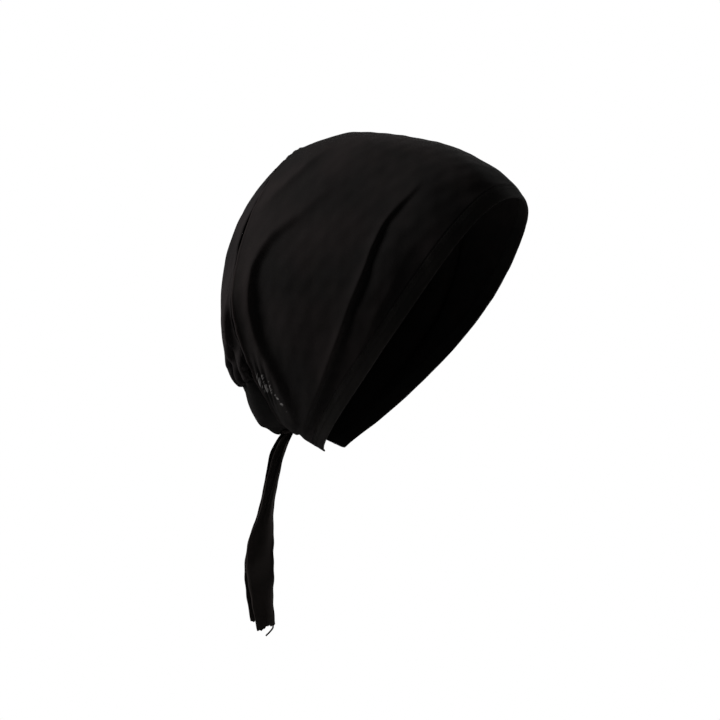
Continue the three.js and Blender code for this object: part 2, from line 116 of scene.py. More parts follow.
CROWN = as_columns("place topBack topDrop endSide endBack endDrop halfSide widest bow roundTop roundEnd", [
    [0.00, -0.450, 0.197, 0.210, 0.178, 0.994, 0.893, 0.48, -0.041, 2.40, 1.50],
    [0.22, -0.359, 0.108, 0.171, 0.222, 0.982, 0.961, 0.47, -0.055, 2.30, 1.50],
    [0.50, -0.182, 0.032, 0.132, 0.275, 0.965, 1.000, 0.47, -0.055, 2.10, 1.60],
    [0.70, 0.023, 0.000, 0.120, 0.307, 0.950, 0.974, 0.48, 0.022, 2.05, 1.60],
    [0.85, 0.159, 0.005, 0.113, 0.324, 0.939, 0.900, 0.49, 0.075, 2.00, 1.55],
    [1.00, 0.300, 0.054, 0.107, 0.339, 0.930, 0.803, 0.51, 0.082, 2.00, 1.50],
])
BAG = as_columns("place topBack topDrop halfSide widest bow roundEnd", [
    [1.00, 0.300, 0.054, 1.38, 0.58, 0.045, 1.30],
    [1.15, 0.409, 0.148, 1.27, 0.60, 0.038, 1.25],
    [1.35, 0.491, 0.291, 1.16, 0.66, 0.034, 1.25],
    [1.55, 0.527, 0.465, 1.07, 0.74, 0.028, 1.30],
    [1.75, 0.536, 0.643, 1.02, 0.85, 0.020, 1.50],
    [1.90, 0.520, 0.760, 1.00, 0.95, 0.009, 1.80],
    [2.00, 0.473, 0.806, 1.00, 1.00, 0.000, 2.00],
])


def smooth(table, name, place):
    """One column's value at each place: a cubic between its rows, whose slope at a row is the mean of the two
    rises beside it, weighted towards the nearer row."""
    x, y = table["place"], table[name]
    width = np.diff(x)
    rise = np.diff(y) / width
    slope = np.empty_like(y)
    slope[1:-1] = (rise[:-1] * width[1:] + rise[1:] * width[:-1]) / (width[:-1] + width[1:])
    slope[0] = 2 * rise[0] - slope[1]
    slope[-1] = 2 * rise[-1] - slope[-2]
    i = np.clip(np.searchsorted(x, place, side="right") - 1, 0, len(width) - 1)
    s = (place - x[i]) / width[i]
    start = (2 * s**3 - 3 * s**2 + 1) * y[i] + (s**3 - 2 * s**2 + s) * width[i] * slope[i]
    return start + (3 * s**2 - 2 * s**3) * y[i + 1] + (s**3 - s**2) * width[i] * slope[i + 1]


# %% Points on the crown, the bag and the nape band
def alike(*numbers):
    """Numbers or arrays brought to one shape."""
    return np.broadcast_arrays(*(np.asarray(number, float) for number in numbers))


def read_hoop(table, place, half_width):
    """A table's columns at each place, in millimetres where they are shares of the cap's sizes."""
    sizes = dict.fromkeys(("topBack", "endBack", "bow"), CAP_LENGTH)
    sizes |= {"topDrop": CAP_HEIGHT, "endDrop": CAP_HEIGHT, "halfSide": half_width, "endSide": half_width}
    return {name: smooth(table, name, place) * sizes.get(name, 1) for name in table if name != "place"}


def arch(hoop, side):
    """Points on hoops at signed shares. Down to where the hoop is widest its side follows a power of a sine,
    below that a power of a cosine, and the whole arch bows away from its chord by a sine."""
    share = np.minimum(np.abs(side), 1)
    widest = hoop["widest"]
    above = np.clip(share / widest, 0, 1) * np.pi / 2
    below = np.clip((share - widest) / np.maximum(1 - widest, 1e-9), 0, 1) * np.pi / 2
    top_power, end_power = 2 / hoop["roundTop"], 2 / hoop["roundEnd"]
    high = share <= widest
    flat = np.maximum(np.cos(np.where(high, above, below)), 0)
    steep = np.sin(np.where(high, above, below))
    down = np.where(high, widest * (1 - flat**top_power), widest + (1 - widest) * steep**end_power)
    low_out = hoop["endSide"] + (hoop["halfSide"] - hoop["endSide"]) * flat**end_power
    out = np.where(high, hoop["halfSide"] * steep**top_power, low_out)
    chord_back, chord_up = hoop["endBack"] - hoop["topBack"], hoop["topDrop"] - hoop["endDrop"]
    bulge = hoop["bow"] * np.sin(np.pi * down) / np.hypot(chord_back, chord_up)
    back = hoop["topBack"] + chord_back * down - chord_up * bulge
    up = -hoop["topDrop"] + chord_up * down + chord_back * bulge
    return np.stack([np.sign(side) * out, back, up], -1)


def crown_point(side, place):
    """Inside of the crown, as hoops from the face edge at place 0 to the back seam at place 1."""
    side, place = alike(side, place)
    return arch(read_hoop(CROWN, place, CAP_HALF_WIDTH), side)


bag_corner = crown_point(NAPE_START, SEAM_PLACE)


def bag_hoop_point(side, place):
    """The bag's own family of hoops, which all end at its two corners on the back seam."""
    side, place = alike(side, place)
    ends = {"endSide": bag_corner[0], "endBack": bag_corner[1], "endDrop": -bag_corner[2], "roundTop": 2.0}
    return arch(read_hoop(BAG, place, bag_corner[0]) | ends, side)


def bag_point(side, place):
    """Inside of the bag: its hoops, drawn onto the back seam at place 1 by a shift that fades as a square."""
    side, place = alike(side, place)
    away = (BAG_END_PLACE - place) / (BAG_END_PLACE - SEAM_PLACE)
    shift = crown_point(side * NAPE_START, SEAM_PLACE) - bag_hoop_point(side, SEAM_PLACE)
    return bag_hoop_point(side, place) + shift * (away**2)[..., None]


def nape_point(side, place):
    """Inside of the nape band: its ends follow the back seam from the bag's corner to the knot, and its middle
    drops in a cup by powers of a sine and a cosine."""
    side, place = alike(side, place)
    end = crown_point(NAPE_START + (1 - NAPE_START) * place, SEAM_PLACE)
    top = bag_hoop_point(0, BAG_END_PLACE)
    turn = place * np.pi / 2
    middle_back = top[1] - NAPE_TUCK * (1 - np.maximum(np.cos(turn), 0) ** NAPE_TUCK_ROUND)
    middle_up = top[2] - NAPE_DROP * np.sin(turn) ** NAPE_DROP_ROUND
    angle = np.abs(side) * np.pi / 2
    squarer = 1 - NAPE_SQUARENESS * np.sin(turn)
    share = 1 - np.maximum(np.cos(angle), 0) ** (1 / squarer)
    out = np.sign(side) * end[..., 0] * np.sin(angle) ** squarer
    back = middle_back + (end[..., 1] - middle_back) * share
    up = middle_up + (end[..., 2] - middle_up) * share
    return np.stack([out, back, up], -1)


def outward(surface, side, place, low):
    """Unit normals of a surface: the cross of its slope along the hoop and its slope from hoop to hoop."""
    step = 0.004
    along = surface(np.minimum(side + step, 1), place) - surface(np.maximum(side - step, -1), place)
    back = surface(side, np.minimum(place + step, low + 1)) - surface(side, np.maximum(place - step, low))
    normal = np.cross(along, back)
    return normal / np.maximum(np.linalg.norm(normal, axis=-1, keepdims=True), 1e-9)


crown_box = crown_point(*np.meshgrid(np.linspace(-1, 1, 81), np.linspace(0, 1, 41)))
print("crown inside, mm:", crown_box.reshape(-1, 3).min(0).round(1), crown_box.reshape(-1, 3).max(0).round(1))

# %% [markdown]
# ## Cloth as a closed wall
# Thin cloth still has two faces and an edge. Each piece is two grids of points, the outside and the inside,
# joined round their border by a rounded edge, so that its mesh is closed and its faces point outwards. The
# cloth's own lengths along and across the grid become its UV map, so that the knit keeps its size everywhere.

# %% Meshes from grids
def grid_faces(index):
    """Four-cornered faces of a grid of vertex numbers."""
    return np.stack([index[:-1, :-1], index[:-1, 1:], index[1:, 1:], index[1:, :-1]], -1).reshape(-1, 4)


def round_way(count):
    """Angles at equal steps once round."""
    return np.linspace(0, 2 * np.pi, count, endpoint=False)


def run_lengths(points):
    """Length of the way from the first point of each column down to each of its points."""
    steps = np.linalg.norm(np.diff(points, axis=0), axis=-1)
    return np.concatenate([np.zeros((1,) + points.shape[1:-1]), np.cumsum(steps, 0)])


def cloth_lengths(points):
    """Lengths along each row, counted from its middle, and down each column, for every grid point."""
    along = run_lengths(points.swapaxes(0, 1)).T
    return np.stack([along - along[:, points.shape[1] // 2][:, None], run_lengths(points)], -1)


def closed_wall(outer, inner):
    """Joins two grids of points round their border: half way between them the edge stands out by half the
    cloth's thickness, so the border is round. Gives points, faces, and the grid number of each point."""
    rows, columns = outer.shape[:2]
    count = rows * columns
    index = np.arange(count).reshape(rows, columns)
    loop = np.concatenate([index[0, :-1], index[:-1, -1], index[-1, :0:-1], index[:0:-1, 0]])
    middle = ((outer + inner) / 2).reshape(-1, 3)
    within = np.clip(loop // columns, 1, rows - 2) * columns + np.clip(loop % columns, 1, columns - 2)
    way = middle[loop] - middle[within]
    way /= np.maximum(np.linalg.norm(way, axis=1, keepdims=True), 1e-9)
    flat_outer, flat_inner = outer.reshape(-1, 3), inner.reshape(-1, 3)
    thick = np.linalg.norm(flat_outer[loop] - flat_inner[loop], axis=1, keepdims=True)
    edge = middle[loop] + way * thick / 2
    ring_a = 2 * count + np.arange(len(loop))
    a, b, ring_b = loop, np.roll(loop, -1), np.roll(ring_a, -1)
    sides = [np.stack([b, a, ring_a, ring_b], -1), np.stack([ring_b, ring_a, a + count, b + count], -1)]
    faces = np.concatenate([grid_faces(index), grid_faces(index + count)[:, ::-1], *sides])
    numbers = np.concatenate([index.ravel(), index.ravel(), loop])
    return np.concatenate([flat_outer, flat_inner, edge]), faces, numbers


def ring_tube(rings):
    """Joins closed rings of points into a tube and closes both ends with a fan to the end ring's middle. Gives
    points, and faces in three groups."""
    count, sides = rings.shape[:2]
    index = np.arange(count * sides).reshape(count, sides)
    after = np.roll(index, -1, 1)
    first = np.stack([index[0], np.full(sides, count * sides), after[0]], -1)
    last = np.stack([after[-1], np.full(sides, count * sides + 1), index[-1]], -1)
    centres = np.stack([rings[0].mean(0), rings[-1].mean(0)])
    faces = grid_faces(np.pad(index, ((0, 0), (0, 1)), mode="wrap"))
    return np.concatenate([rings.reshape(-1, 3), centres]), [faces, first, last]


def make_piece(name, points, faces, finish, lengths, masks=()):
    """Puts points in millimetres and groups of faces with three or four corners into a smooth mesh with its UV
    map, in metres of cloth, and a number for each point under each mask's name."""
    mesh = bpy.data.meshes.new(name)
    corners = np.concatenate([group.ravel() for group in faces]).astype(np.int32)
    sizes = np.concatenate([np.full(len(group), group.shape[1]) for group in faces]).astype(np.int32)
    mesh.vertices.add(len(points))
    mesh.vertices.foreach_set("co", (points * MM).ravel())
    mesh.loops.add(len(corners))
    mesh.loops.foreach_set("vertex_index", corners)
    mesh.polygons.add(len(sizes))
    mesh.polygons.foreach_set("loop_start", np.concatenate([[0], np.cumsum(sizes)[:-1]]).astype(np.int32))
    mesh.update(calc_edges=True)
    mesh.uv_layers.new(name="cloth").data.foreach_set("uv", (lengths * MM)[corners].ravel())
    for mask, values in dict(masks).items():
        mesh.attributes.new(mask, "FLOAT", "POINT").data.foreach_set("value", values.astype(np.float32))
    mesh.shade_smooth()
    mesh.materials.append(finish)
    mesh.validate()
    piece = bpy.data.objects.new(name, mesh)
    bpy.context.scene.collection.objects.link(piece)
    print(name, len(mesh.polygons), "faces, mm", points.min(0).round(1), points.max(0).round(1))
    return piece


def wall_piece(name, outer, inner, finish, masks=(), measured=None, loose=None):
    """A closed wall as a piece. Its lengths are those of the measured grid, or else of the outer one, and its
    masks are grids too. Points and faces that hang loose take what the grid's last point has."""
    points, faces, index = closed_wall(outer, inner)
    groups = [faces]
    if loose:
        groups += [group + len(points) for group in loose[1]]
        index = np.concatenate([index, np.full(len(loose[0]), outer[..., 0].size - 1)])
        points = np.concatenate([points, loose[0]])
    lengths = cloth_lengths(outer if measured is None else measured).reshape(-1, 2)[index]
    masks = {mask: grid.ravel()[index] for mask, grid in dict(masks).items()}
    return make_piece(name, points, groups, finish, lengths, masks)


# %% [markdown]
# ## Uneven cloth
# Real folds are never quite even. A few sine waves in fixed directions, added up, give a soft unevenness that is
# the same on every run and passes smoothly from one piece to the next, because it is read at points in space.

# %% Soft unevenness and curves
def unevenness(points, size, seed, waves=7):
    """A number from about -1 to 1 at each point: the mean of sine waves with drawn directions and lengths
    near a size in millimetres."""
    draw = np.random.default_rng(seed)
    ways = draw.normal(size=(waves, 3))
    ways *= (2 * np.pi / size / np.linalg.norm(ways, axis=1) * draw.uniform(0.6, 1.5, waves))[:, None]
    starts = draw.uniform(0, 2 * np.pi, waves)
    return np.sin(points @ ways.T + starts).sum(-1) / math.sqrt(waves) * 0.8


def curve_through(points, steps):
    """A smooth path through a few points: on each stretch a cubic whose slopes come from the neighbours."""
    p = np.asarray(points, float)
    p = np.concatenate([2 * p[:1] - p[1:2], p, 2 * p[-1:] - p[-2:-1]])
    at = np.linspace(0, len(p) - 3, steps)
    i = np.minimum(at.astype(int), len(p) - 4)
    t = (at - i)[:, None]
    a, b, c, d = p[i], p[i + 1], p[i + 2], p[i + 3]
    return 0.5 * (2 * b + (c - a) * t + (2 * a - 5 * b + 4 * c - d) * t**2 + (3 * b - a - 3 * c + d) * t**3)


def even_shares(surface, place, count, tip):
    """Signed shares along a hoop that lie the same length of cloth apart."""
    fine = np.linspace(-tip, tip, 1601)
    lengths = run_lengths(surface(fine, place))
    return np.interp(np.linspace(0, lengths[-1], count), lengths, fine)


# %% [markdown]
# ## Folds
# A fold in stretched jersey is a soft ridge with a narrow hollow on one side, where the cloth is drawn under.
# Each fold follows a path over the hoops. The height at a point depends only on its signed distance from the
# path: a bell shape for the ridge, a deeper and lopsided one for the hollow, both fading out at the path's ends.

# %% The table of folds and their height
FOLD_WORDS = "side high ridge hollow deep path"
FOLDS = [
    (-1, 1.35, 1.7, 1.9, 0.95, [(0.205, 0.385), (0.25, 0.412), (0.31, 0.448), (0.37, 0.450), (0.41, 0.441),
                                (0.45, 0.437), (0.50, 0.434), (0.64, 0.412), (0.72, 0.395), (0.82, 0.405),
                                (0.88, 0.42)]),
    (-1, 2.3, 3.2, 5.2, 0.85, [(0.258, 0.670), (0.330, 0.720), (0.368, 0.765), (0.394, 0.805), (0.428, 0.835),
                               (0.462, 0.855), (0.500, 0.856), (0.548, 0.856), (0.590, 0.848), (0.630, 0.830),
                               (0.666, 0.800), (0.694, 0.760), (0.722, 0.715), (0.758, 0.670), (0.792, 0.630),
                               (0.822, 0.595), (0.87, 0.53)]),
    (-1, 1.1, 3.2, 4.0, 0.70, [(0.14, 0.78), (0.24, 0.84), (0.33, 0.93)]),
    (-1, 0.7, 4.2, 4.6, 0.60, [(0.34, 0.24), (0.48, 0.22), (0.62, 0.17)]),
    (1, 2.0, 2.4, 3.8, 0.90, [(0.20, 0.40), (0.32, 0.46), (0.47, 0.43), (0.62, 0.40), (0.80, 0.38)]),
    (1, 3.2, 4.0, 6.4, 0.90, [(0.27, 0.70), (0.36, 0.78), (0.46, 0.87), (0.57, 0.90), (0.66, 0.85), (0.73, 0.72),
                              (0.82, 0.57)]),
    (1, 1.0, 3.6, 4.6, 0.60, [(0.12, 0.80), (0.22, 0.86), (0.32, 0.93)]),
    (-1, 1.7, 2.4, 2.8, 0.95, [(0.56, 1.08), (0.66, 1.20), (0.705, 1.36), (0.69, 1.53), (0.654, 1.683), (0.57, 1.80),
                               (0.481, 1.87)]),
    (-1, 1.2, 2.0, 2.4, 0.90, [(0.80, 1.12), (0.865, 1.28), (0.88, 1.45), (0.85, 1.64), (0.80, 1.80)]),
    (1, 1.5, 2.4, 3.4, 0.80, [(0.50, 1.10), (0.66, 1.20), (0.76, 1.38), (0.62, 1.62), (0.46, 1.84)]),
]
FOLD_STEPS = 72
RIDGE_SOFT = 2.4
RIDGE_POWER = 1.5
HOLLOW_SOFT = 2.8
HOLLOW_POWER = 1.8
HOLLOW_OFF = 0.55
FOLD_FADE = 0.7
STRONG_FOLD = 2.7


def cloth_point(side, place):
    """Inside of the crown up to the seam and of the bag beyond it."""
    return np.where((place > SEAM_PLACE)[..., None], bag_point(side, place), crown_point(side, np.minimum(place, 1)))


def fold_height(fold, points, normals):
    """Height of one fold at many points: the nearest stretch of its path gives the signed distance, positive
    on the face side, and how far along the path the point lies."""
    path = curve_through(fold["path"], FOLD_STEPS)
    line = cloth_point(fold["side"] * path[:, 0], path[:, 1])
    best = np.full(points.shape[:-1], 1e9)
    signed = np.zeros_like(best)
    along = np.zeros_like(best)
    for i, (start, end) in enumerate(zip(line[:-1], line[1:])):
        run = end - start
        share = np.clip((points - start) @ run / (run @ run), 0, 1)
        away = points - start - share[..., None] * run
        distance = np.linalg.norm(away, axis=-1)
        nearer = distance < best
        turn = (np.cross(run, away) * normals).sum(-1) * -fold["side"]
        best = np.where(nearer, distance, best)
        signed = np.where(nearer, np.sign(turn) * distance, signed)
        along = np.where(nearer, (i + share) / (len(line) - 1), along)
    back = -signed / fold["ridge"]
    front = (signed - fold["ridge"] - HOLLOW_OFF * fold["hollow"]) / fold["hollow"]
    ridge = np.exp(-np.abs(np.where(back > 0, back / RIDGE_SOFT, back)) ** RIDGE_POWER)
    hollow = np.exp(-np.abs(np.where(front < 0, front, front / HOLLOW_SOFT)) ** HOLLOW_POWER)
    fade = np.maximum(np.sin(np.pi * along), 0) ** FOLD_FADE
    return fold["high"] * fade * (ridge - fold["deep"] * hollow), fade * ridge, fade * hollow


def folds_at(points, normals, side):
    """Heights of all folds of a point's own side of the cap, and how much it is on a ridge or in a hollow."""
    height = np.zeros(points.shape[:-1])
    ridge = np.zeros_like(height)
    hollow = np.zeros_like(height)
    for values in FOLDS:
        fold = dict(zip(FOLD_WORDS.split(), values))
        mine = np.sign(side) != -fold["side"]
        lift, top, low = fold_height(fold, points[mine], normals[mine])
        strong = min(fold["high"] / STRONG_FOLD, 1)
        height[mine] += lift
        ridge[mine] = np.maximum(ridge[mine], top * strong)
        hollow[mine] = np.maximum(hollow[mine], low * strong)
    return height, ridge, hollow


print("folds:", len(FOLDS))

# %% [markdown]
# ## Finishes
# Shader sums are easier to read as sums. A small class wraps one number socket, so that `1 - knit * 0.2` adds
# the Math nodes by itself, and a second class owns a material and adds any other node.

# %% Shader sums written as Python
class Number:
    """A number socket of a finish, which plain arithmetic can use."""

    def __init__(self, finish, socket):
        self.finish = finish
        self.socket = socket

    def sum(self, operation, *others):
        return self.finish.node("ShaderNodeMath", {"operation": operation}, dict(enumerate([self, *others])))

    def __add__(self, other):
        return self.sum("ADD", other)

    def __sub__(self, other):
        return self.sum("SUBTRACT", other)

    def __rsub__(self, other):
        return self.finish.node("ShaderNodeMath", {"operation": "SUBTRACT"}, {0: other, 1: self})

    def __mul__(self, other):
        return self.sum("MULTIPLY", other)

    def __truediv__(self, other):
        return self.sum("DIVIDE", other)

    def __pow__(self, other):
        return self.sum("POWER", other)

    __radd__ = __add__
    __rmul__ = __mul__


class Finish:
    """A material with its Principled shader. node() adds any node: its settings first, then its sockets."""

    def __init__(self, name):
        self.material = bpy.data.materials.new(name)
        self.material.use_nodes = True
        self.tree = self.material.node_tree
        self.shader = next(n for n in self.tree.nodes if n.type == "BSDF_PRINCIPLED")

    def node(self, kind, settings=(), inputs=(), output=0):
        made = self.tree.nodes.new(kind)
        for name, value in dict(settings).items():
            setattr(made, name, value)
        for socket, value in dict(inputs).items():
            self.feed(made.inputs[socket], value)
        return Number(self, made.outputs[output])

    def feed(self, socket, value):
        if isinstance(value, Number):
            self.tree.links.new(value.socket, socket)
        else:
            socket.default_value = value

    def set(self, **sockets):
        for name, value in sockets.items():
            self.feed(self.shader.inputs[name.replace("_", " ")], value)


def mixed(finish, share, one, other):
    """A colour between two colours."""
    inputs = {"Factor": share, 6: one, 7: other}
    return finish.node("ShaderNodeMix", {"data_type": "RGBA"}, inputs, output=2)


def stepped(finish, value, low, high):
    """0 below low, 1 above high, and a smooth step between."""
    settings = {"interpolation_type": "SMOOTHSTEP"}
    return finish.node("ShaderNodeMapRange", settings, {"Value": value, "From Min": low, "From Max": high})


# %% [markdown]
# ## Black jersey
# Jersey is a plain knit: columns of small V-shaped loops, under a millimetre across. Dyed black it is nearly
# lightless, a little warmer and greyer where it is stretched thin, with a soft fuzz that catches light at the
# edge of a form. The finish draws the loops on the cloth's own UV map, and fade and pilling from noise in space.
# A piece may carry three masks: wear with a painted highlight on ridges, painted shade in hollows, and thin
# knit, where light that shows through it is painted as pale specks.

# %% The jersey finish
WALE = 0.00085
COURSE = 0.00070
SPECKS_ALONG = 340.0
SPECKS_ACROSS = 120.0
PILL_BUMP = 0.00003
YARN_BUMP = 0.00001
WAVE_BUMP = 0.00006


def jersey(name, dark, warm, pale=(0.15, 0.143, 0.14, 1), loops=0.00004, fuzz=0.012):
    """A knit of one dye: dark and warm are the ends of its fade, pale is painted light through overstretched knit.
    """
    f = Finish(name)
    uv = f.node("ShaderNodeUVMap", {"uv_map": "cloth"})
    along, down = (f.node("ShaderNodeSeparateXYZ", (), {0: uv}, output=i) for i in (0, 1))
    wale = (along / WALE).sum("FRACT")
    lean = (wale - 0.5).sum("ABSOLUTE") * 2
    loop = ((down / COURSE - lean * 0.5) * (2 * math.pi)).sum("SINE") * 0.5 + 0.5
    furrow = lean**4
    knit = loop * (1 - furrow) * 0.6 + (1 - furrow) * 0.4
    space = f.node("ShaderNodeTexCoord", output=3)

    opened = f.node("ShaderNodeCombineXYZ", (), {0: along * SPECKS_ALONG, 1: down * SPECKS_ACROSS})

    def noise(scale, detail, rough=0.5, at=space):
        return f.node("ShaderNodeTexNoise", (), {"Vector": at, "Scale": scale, "Detail": detail, "Roughness": rough})

    fade = stepped(f, noise(24, 3), 0.3, 0.72)
    pills = stepped(f, noise(300, 2, 0.6), 0.55, 0.8)
    wear_and_painted_light, deep, thin = (
        f.node("ShaderNodeAttribute", {"attribute_name": mask}, output=2) for mask in ("wear_and_painted_light", "deep", "thin")
    )
    # Ridges are painted lighter here, partly as wear and partly as a painted highlight. Hollows are painted darker,
    # as painted shade, which lowers both the tint and its brightness.
    share = (fade * 0.45 + wear_and_painted_light * 0.45 + pills * 0.12) * (1 - deep * 0.7)
    tint = mixed(f, share, dark, warm)
    shade = 0.82 + knit * 0.24 - deep * 0.30
    shaded = f.node("ShaderNodeVectorMath", {"operation": "SCALE"}, {0: tint, 3: shade})
    # Where the knit is thin, light that shows through it is painted as pale specks.
    specks = stepped(f, noise(1, 2, at=opened) * 0.80 + thin * 0.44, 0.66, 0.80)
    f.set(Base_Color=mixed(f, specks * stepped(f, thin, 0.02, 0.2), shaded, pale))
    f.set(Roughness=0.9 - wear_and_painted_light * 0.14 - thin * 0.3)
    height = knit * loops + pills * PILL_BUMP + noise(1500, 1) * YARN_BUMP + noise(120, 2) * WAVE_BUMP
    bump = f.node("ShaderNodeBump", (), {"Strength": 1.0, "Distance": 1.0, "Height": height})
    f.set(Normal=bump, Sheen_Weight=fuzz, Sheen_Roughness=0.42, Sheen_Tint=(1.0, 0.93, 0.90, 1))
    f.set(Specular_IOR_Level=0.02)
    return f.material


# The hem's and the ties' copies of this one jersey are painted lighter than the crown's. This stands in for light
# that their shaded places miss.
crown_jersey = jersey("crown jersey", (0.0085, 0.0080, 0.0078, 1), (0.0200, 0.0155, 0.0152, 1))
hem_jersey_painted_lighter = jersey("hem jersey", (0.0118, 0.0114, 0.0108, 1), (0.0225, 0.0196, 0.0184, 1), loops=0.00005)
bag_jersey = jersey("bag jersey", (0.0100, 0.0090, 0.0090, 1), (0.0240, 0.0197, 0.0198, 1), fuzz=0.022)
nape_jersey = jersey("nape jersey", (0.0085, 0.0082, 0.0080, 1), (0.0160, 0.0145, 0.0138, 1))
tie_jersey_painted_lighter = jersey("tie jersey", (0.0150, 0.0134, 0.0125, 1), (0.0330, 0.0270, 0.0250, 1), loops=0.00006)
print("finishes:", [m.name for m in bpy.data.materials])

# %% [markdown]
# ## Relief of the cloth
# Folds are not all of it. The seam puckers where its thread is tighter than the knit, the cloth of the full back
# is gathered where it meets the nape band, the crown rolls over the lower back seam, and everything is a little
# uneven. These heights are added up along the surface's normal.

# %% Puckers, gathers, the roll and the flared corners
PUCKER_HIGH = 0.42
PUCKER_BEAT = 1.8
PUCKER_LONG = 7.0
PLEAT_WIDE = 6.6
PLEAT_HIGH = 1.7
PLEAT_REACH = (17, 26)
PLEAT_HOLD = 2.2
WIDE_PLEAT_SHARE = 0.55
WIDE_PLEAT_LONG = 42
WIDE_PLEAT_START = 9
CORNER_FLARE = 1.4
FLARE_ALONG = 0.05
FLARE_INWARD = 0.16
ROLL_HIGH = 2.8
ROLL_SHARE = 0.59
ROLL_LONG = 0.14
ROLL_WIDE = 11.0
BAG_ROLL = 1.7


def bell(away, wide, aside=0.0, high=1.0):
    """1 in the middle, falling with the squares of one or two distances over their widths."""
    return np.exp(-((away / wide) ** 2) - (aside / high) ** 2)


def seam_puckers(along, away, seed):
    """Short wrinkles across a seam: a sine along it with an uneven beat, dying out with the distance from it."""
    beat = along / PUCKER_BEAT + 1.5 * np.sin(along / 13 + seed)
    strength = 0.55 + 0.45 * np.sin(along / 31 + 2 * seed)
    return PUCKER_HIGH * strength * np.sin(beat) * np.exp(-np.abs(away) / PUCKER_LONG)


def gathers(along, away, points, seed):
    """Pleats that start at a seam: round ridges with sharp valleys between, which lean and run together as they
    leave it. away is the length of cloth from the seam."""
    lean = 0.55 * unevenness(points, 30, seed) + 0.10 * unevenness(points, 11, seed + 1)
    beat = np.pi * along / PLEAT_WIDE + 1.9 * lean + 0.5 * np.sin(along / 9 + seed)
    pleat = 2 * np.abs(np.cos(beat)) ** 0.75 - 1.2
    reach = PLEAT_REACH[0] + PLEAT_REACH[1] * (0.5 + 0.5 * np.sin(along / 7.7 + seed))
    near = np.exp(-((away / reach) ** 1.3))
    wide = np.cos(beat / 2.6 + seed) * np.exp(-away / WIDE_PLEAT_LONG) * np.clip(away / WIDE_PLEAT_START, 0, 1)
    hold = np.clip(away / PLEAT_HOLD, 0, 1) ** 0.7
    return PLEAT_HIGH * (pleat * near * hold + WIDE_PLEAT_SHARE * wide), near * (pleat > 0.2)


def seam_roll(side, away):
    """Height of the roll that the crown's last fold makes along the lower back seam: a bell along the seam and
    across it. side is the crown's share."""
    return ROLL_HIGH * bell(np.abs(side) - ROLL_SHARE, ROLL_LONG, away, ROLL_WIDE)


def corner_flare(side, place):
    """The face edge's lower corners stand out a little: a bell along the edge times a bell inwards."""
    return CORNER_FLARE * bell(1 - np.abs(side), FLARE_ALONG) * bell(place, FLARE_INWARD)


print("relief, mm: puckers", PUCKER_HIGH, "pleats", PLEAT_HIGH, "roll", ROLL_HIGH, "corners", CORNER_FLARE)

# %% [markdown]
# ## Gathered patch and lower rim
# Low down beside the nape band the crown is drawn in too. Its pleats are worn open on one side, where light that
# shows through the knit is painted as a patch of pale specks with a thin trail below it. Between the knot and the
# hem the rim is drawn up.

# %% The crown's lower back
CROWN_DEPTH = 150.0
HOOP_HALF = 250.0
PATCH = (0.762, 0.840)
PATCH_PLEATS = (0.050, 0.100)
PATCH_SPECKS = (0.038, 0.130)
PATCH_HIGH = 0.8
PATCH_WIDE = 12.0
TRAIL_START = (0.770, 0.78)
TRAIL_END = (0.816, 0.61)
TRAIL_THIN = 0.013
TRAIL_SHARE = 0.80
LEFT_SHARE = 0.35
NOTCH_HIGH = 4.3
NOTCH_PLACE = 0.50
NOTCH_WIDE = 0.07
NOTCH_FADE = 14
PLACE_STEP = 0.05


def rim_notch(side, place):
    """How far the lower rim is drawn up where the hem's flare begins: a bell along the rim, fading upwards."""
    return NOTCH_HIGH * bell(place - NOTCH_PLACE, NOTCH_WIDE) * np.abs(side) ** NOTCH_FADE


def gathered_patch(side, place):
    """Pleats in the crown's lower back: a sine across the hoops inside a bell, stronger on the wearer's right.
    Gives the height and how far the knit is open: streaks on the pleats, and a trail down towards the knot."""
    strength = np.where(side < 0, 1.0, LEFT_SHARE)
    along, across = np.abs(side) - PATCH[0], place - PATCH[1]
    wave = np.sin(2 * np.pi * place * CROWN_DEPTH / PATCH_WIDE + 9 * side + 1.3 * np.sin(place * 23))
    height = PATCH_HIGH * bell(along, PATCH_PLEATS[0], across, PATCH_PLEATS[1]) * np.abs(wave) ** 0.7 * np.sign(wave)
    streaks = bell(along, PATCH_SPECKS[0], across, PATCH_SPECKS[1]) * np.clip(0.85 + 0.5 * wave, 0, 1)
    down = np.clip((TRAIL_START[1] - place) / (TRAIL_START[1] - TRAIL_END[1]), 0, 1)
    off_trail = np.abs(side) - TRAIL_START[0] - down * (TRAIL_END[0] - TRAIL_START[0])
    trail = bell(off_trail, TRAIL_THIN) * np.sqrt(np.sin(np.pi * np.clip(down, 0.02, 0.98)))
    return height * strength, np.maximum(streaks, TRAIL_SHARE * trail) * strength


def crown_relief(side, place):
    """Base points, normals, height and masks of the crown and the hem at hoop shares and places."""
    points = crown_point(side, place)
    normals = outward(crown_point, side, place, 0)
    height, ridge, hollow = folds_at(points, normals, side)
    to_seam = (1 - place) * CROWN_DEPTH
    height = height + gathered_patch(side, place)[0]
    height = height + corner_flare(side, place) + seam_puckers(side * HOOP_HALF, to_seam, 1)
    height = height + 0.42 * unevenness(points, 46, 3) + 0.16 * unevenness(points, 15, 4)
    height = height + 0.045 * unevenness(points, 7, 8) + seam_roll(side, to_seam)
    return points, normals, height, ridge, hollow


def inset_place(surface, side, place, width, step):
    """The place that lies a width of cloth away from a hoop, towards the side of step."""
    return place + width * step / np.linalg.norm(surface(side, place + step) - surface(side, place), axis=-1)


print("open patch at share", PATCH[0], "and place", PATCH[1])

# %% [markdown]
# ## Crown
# The crown is one large panel of jersey, stretched from the hem over the head to the back seam. Being stretched
# it is smooth over the skull, and its folds lie at the sides, where the cloth is drawn to the knot.

